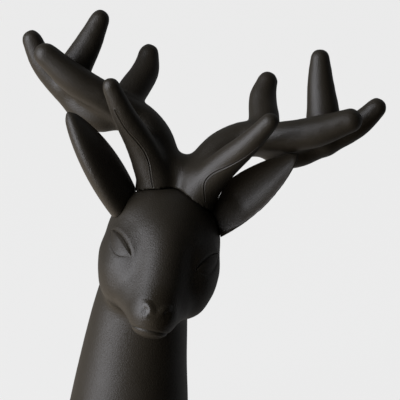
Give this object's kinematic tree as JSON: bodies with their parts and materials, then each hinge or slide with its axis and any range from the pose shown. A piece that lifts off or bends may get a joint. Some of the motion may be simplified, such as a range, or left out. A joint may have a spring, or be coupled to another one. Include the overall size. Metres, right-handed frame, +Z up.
{
  "type": "stag bust figurine",
  "caption": "Bust of a stag in matt black moulded plastic: head and neck cut flat below, with plugged-in ears and a branching antler piece.",
  "frame": {"origin": "centre of the flat cut underside of the neck", "axes": "+Z up, the face looks towards -Y, +X is the deer's left"},
  "size_m": [0.2027, 0.1037, 0.2368],
  "materials": {
    "body_plastic": "moulded, matt black, with a fine even grain",
    "antler_plastic": "moulded, matt black, with a fine even grain and fine mould parting lines",
    "ear_plastic": "moulded, matt black, with a fine even grain"
  },
  "bodies": {
    "root": {"head_and_neck": "body_plastic", "antlers": "antler_plastic", "left_ear": "ear_plastic", "right_ear": "ear_plastic"}
  },
  "joints": []
}
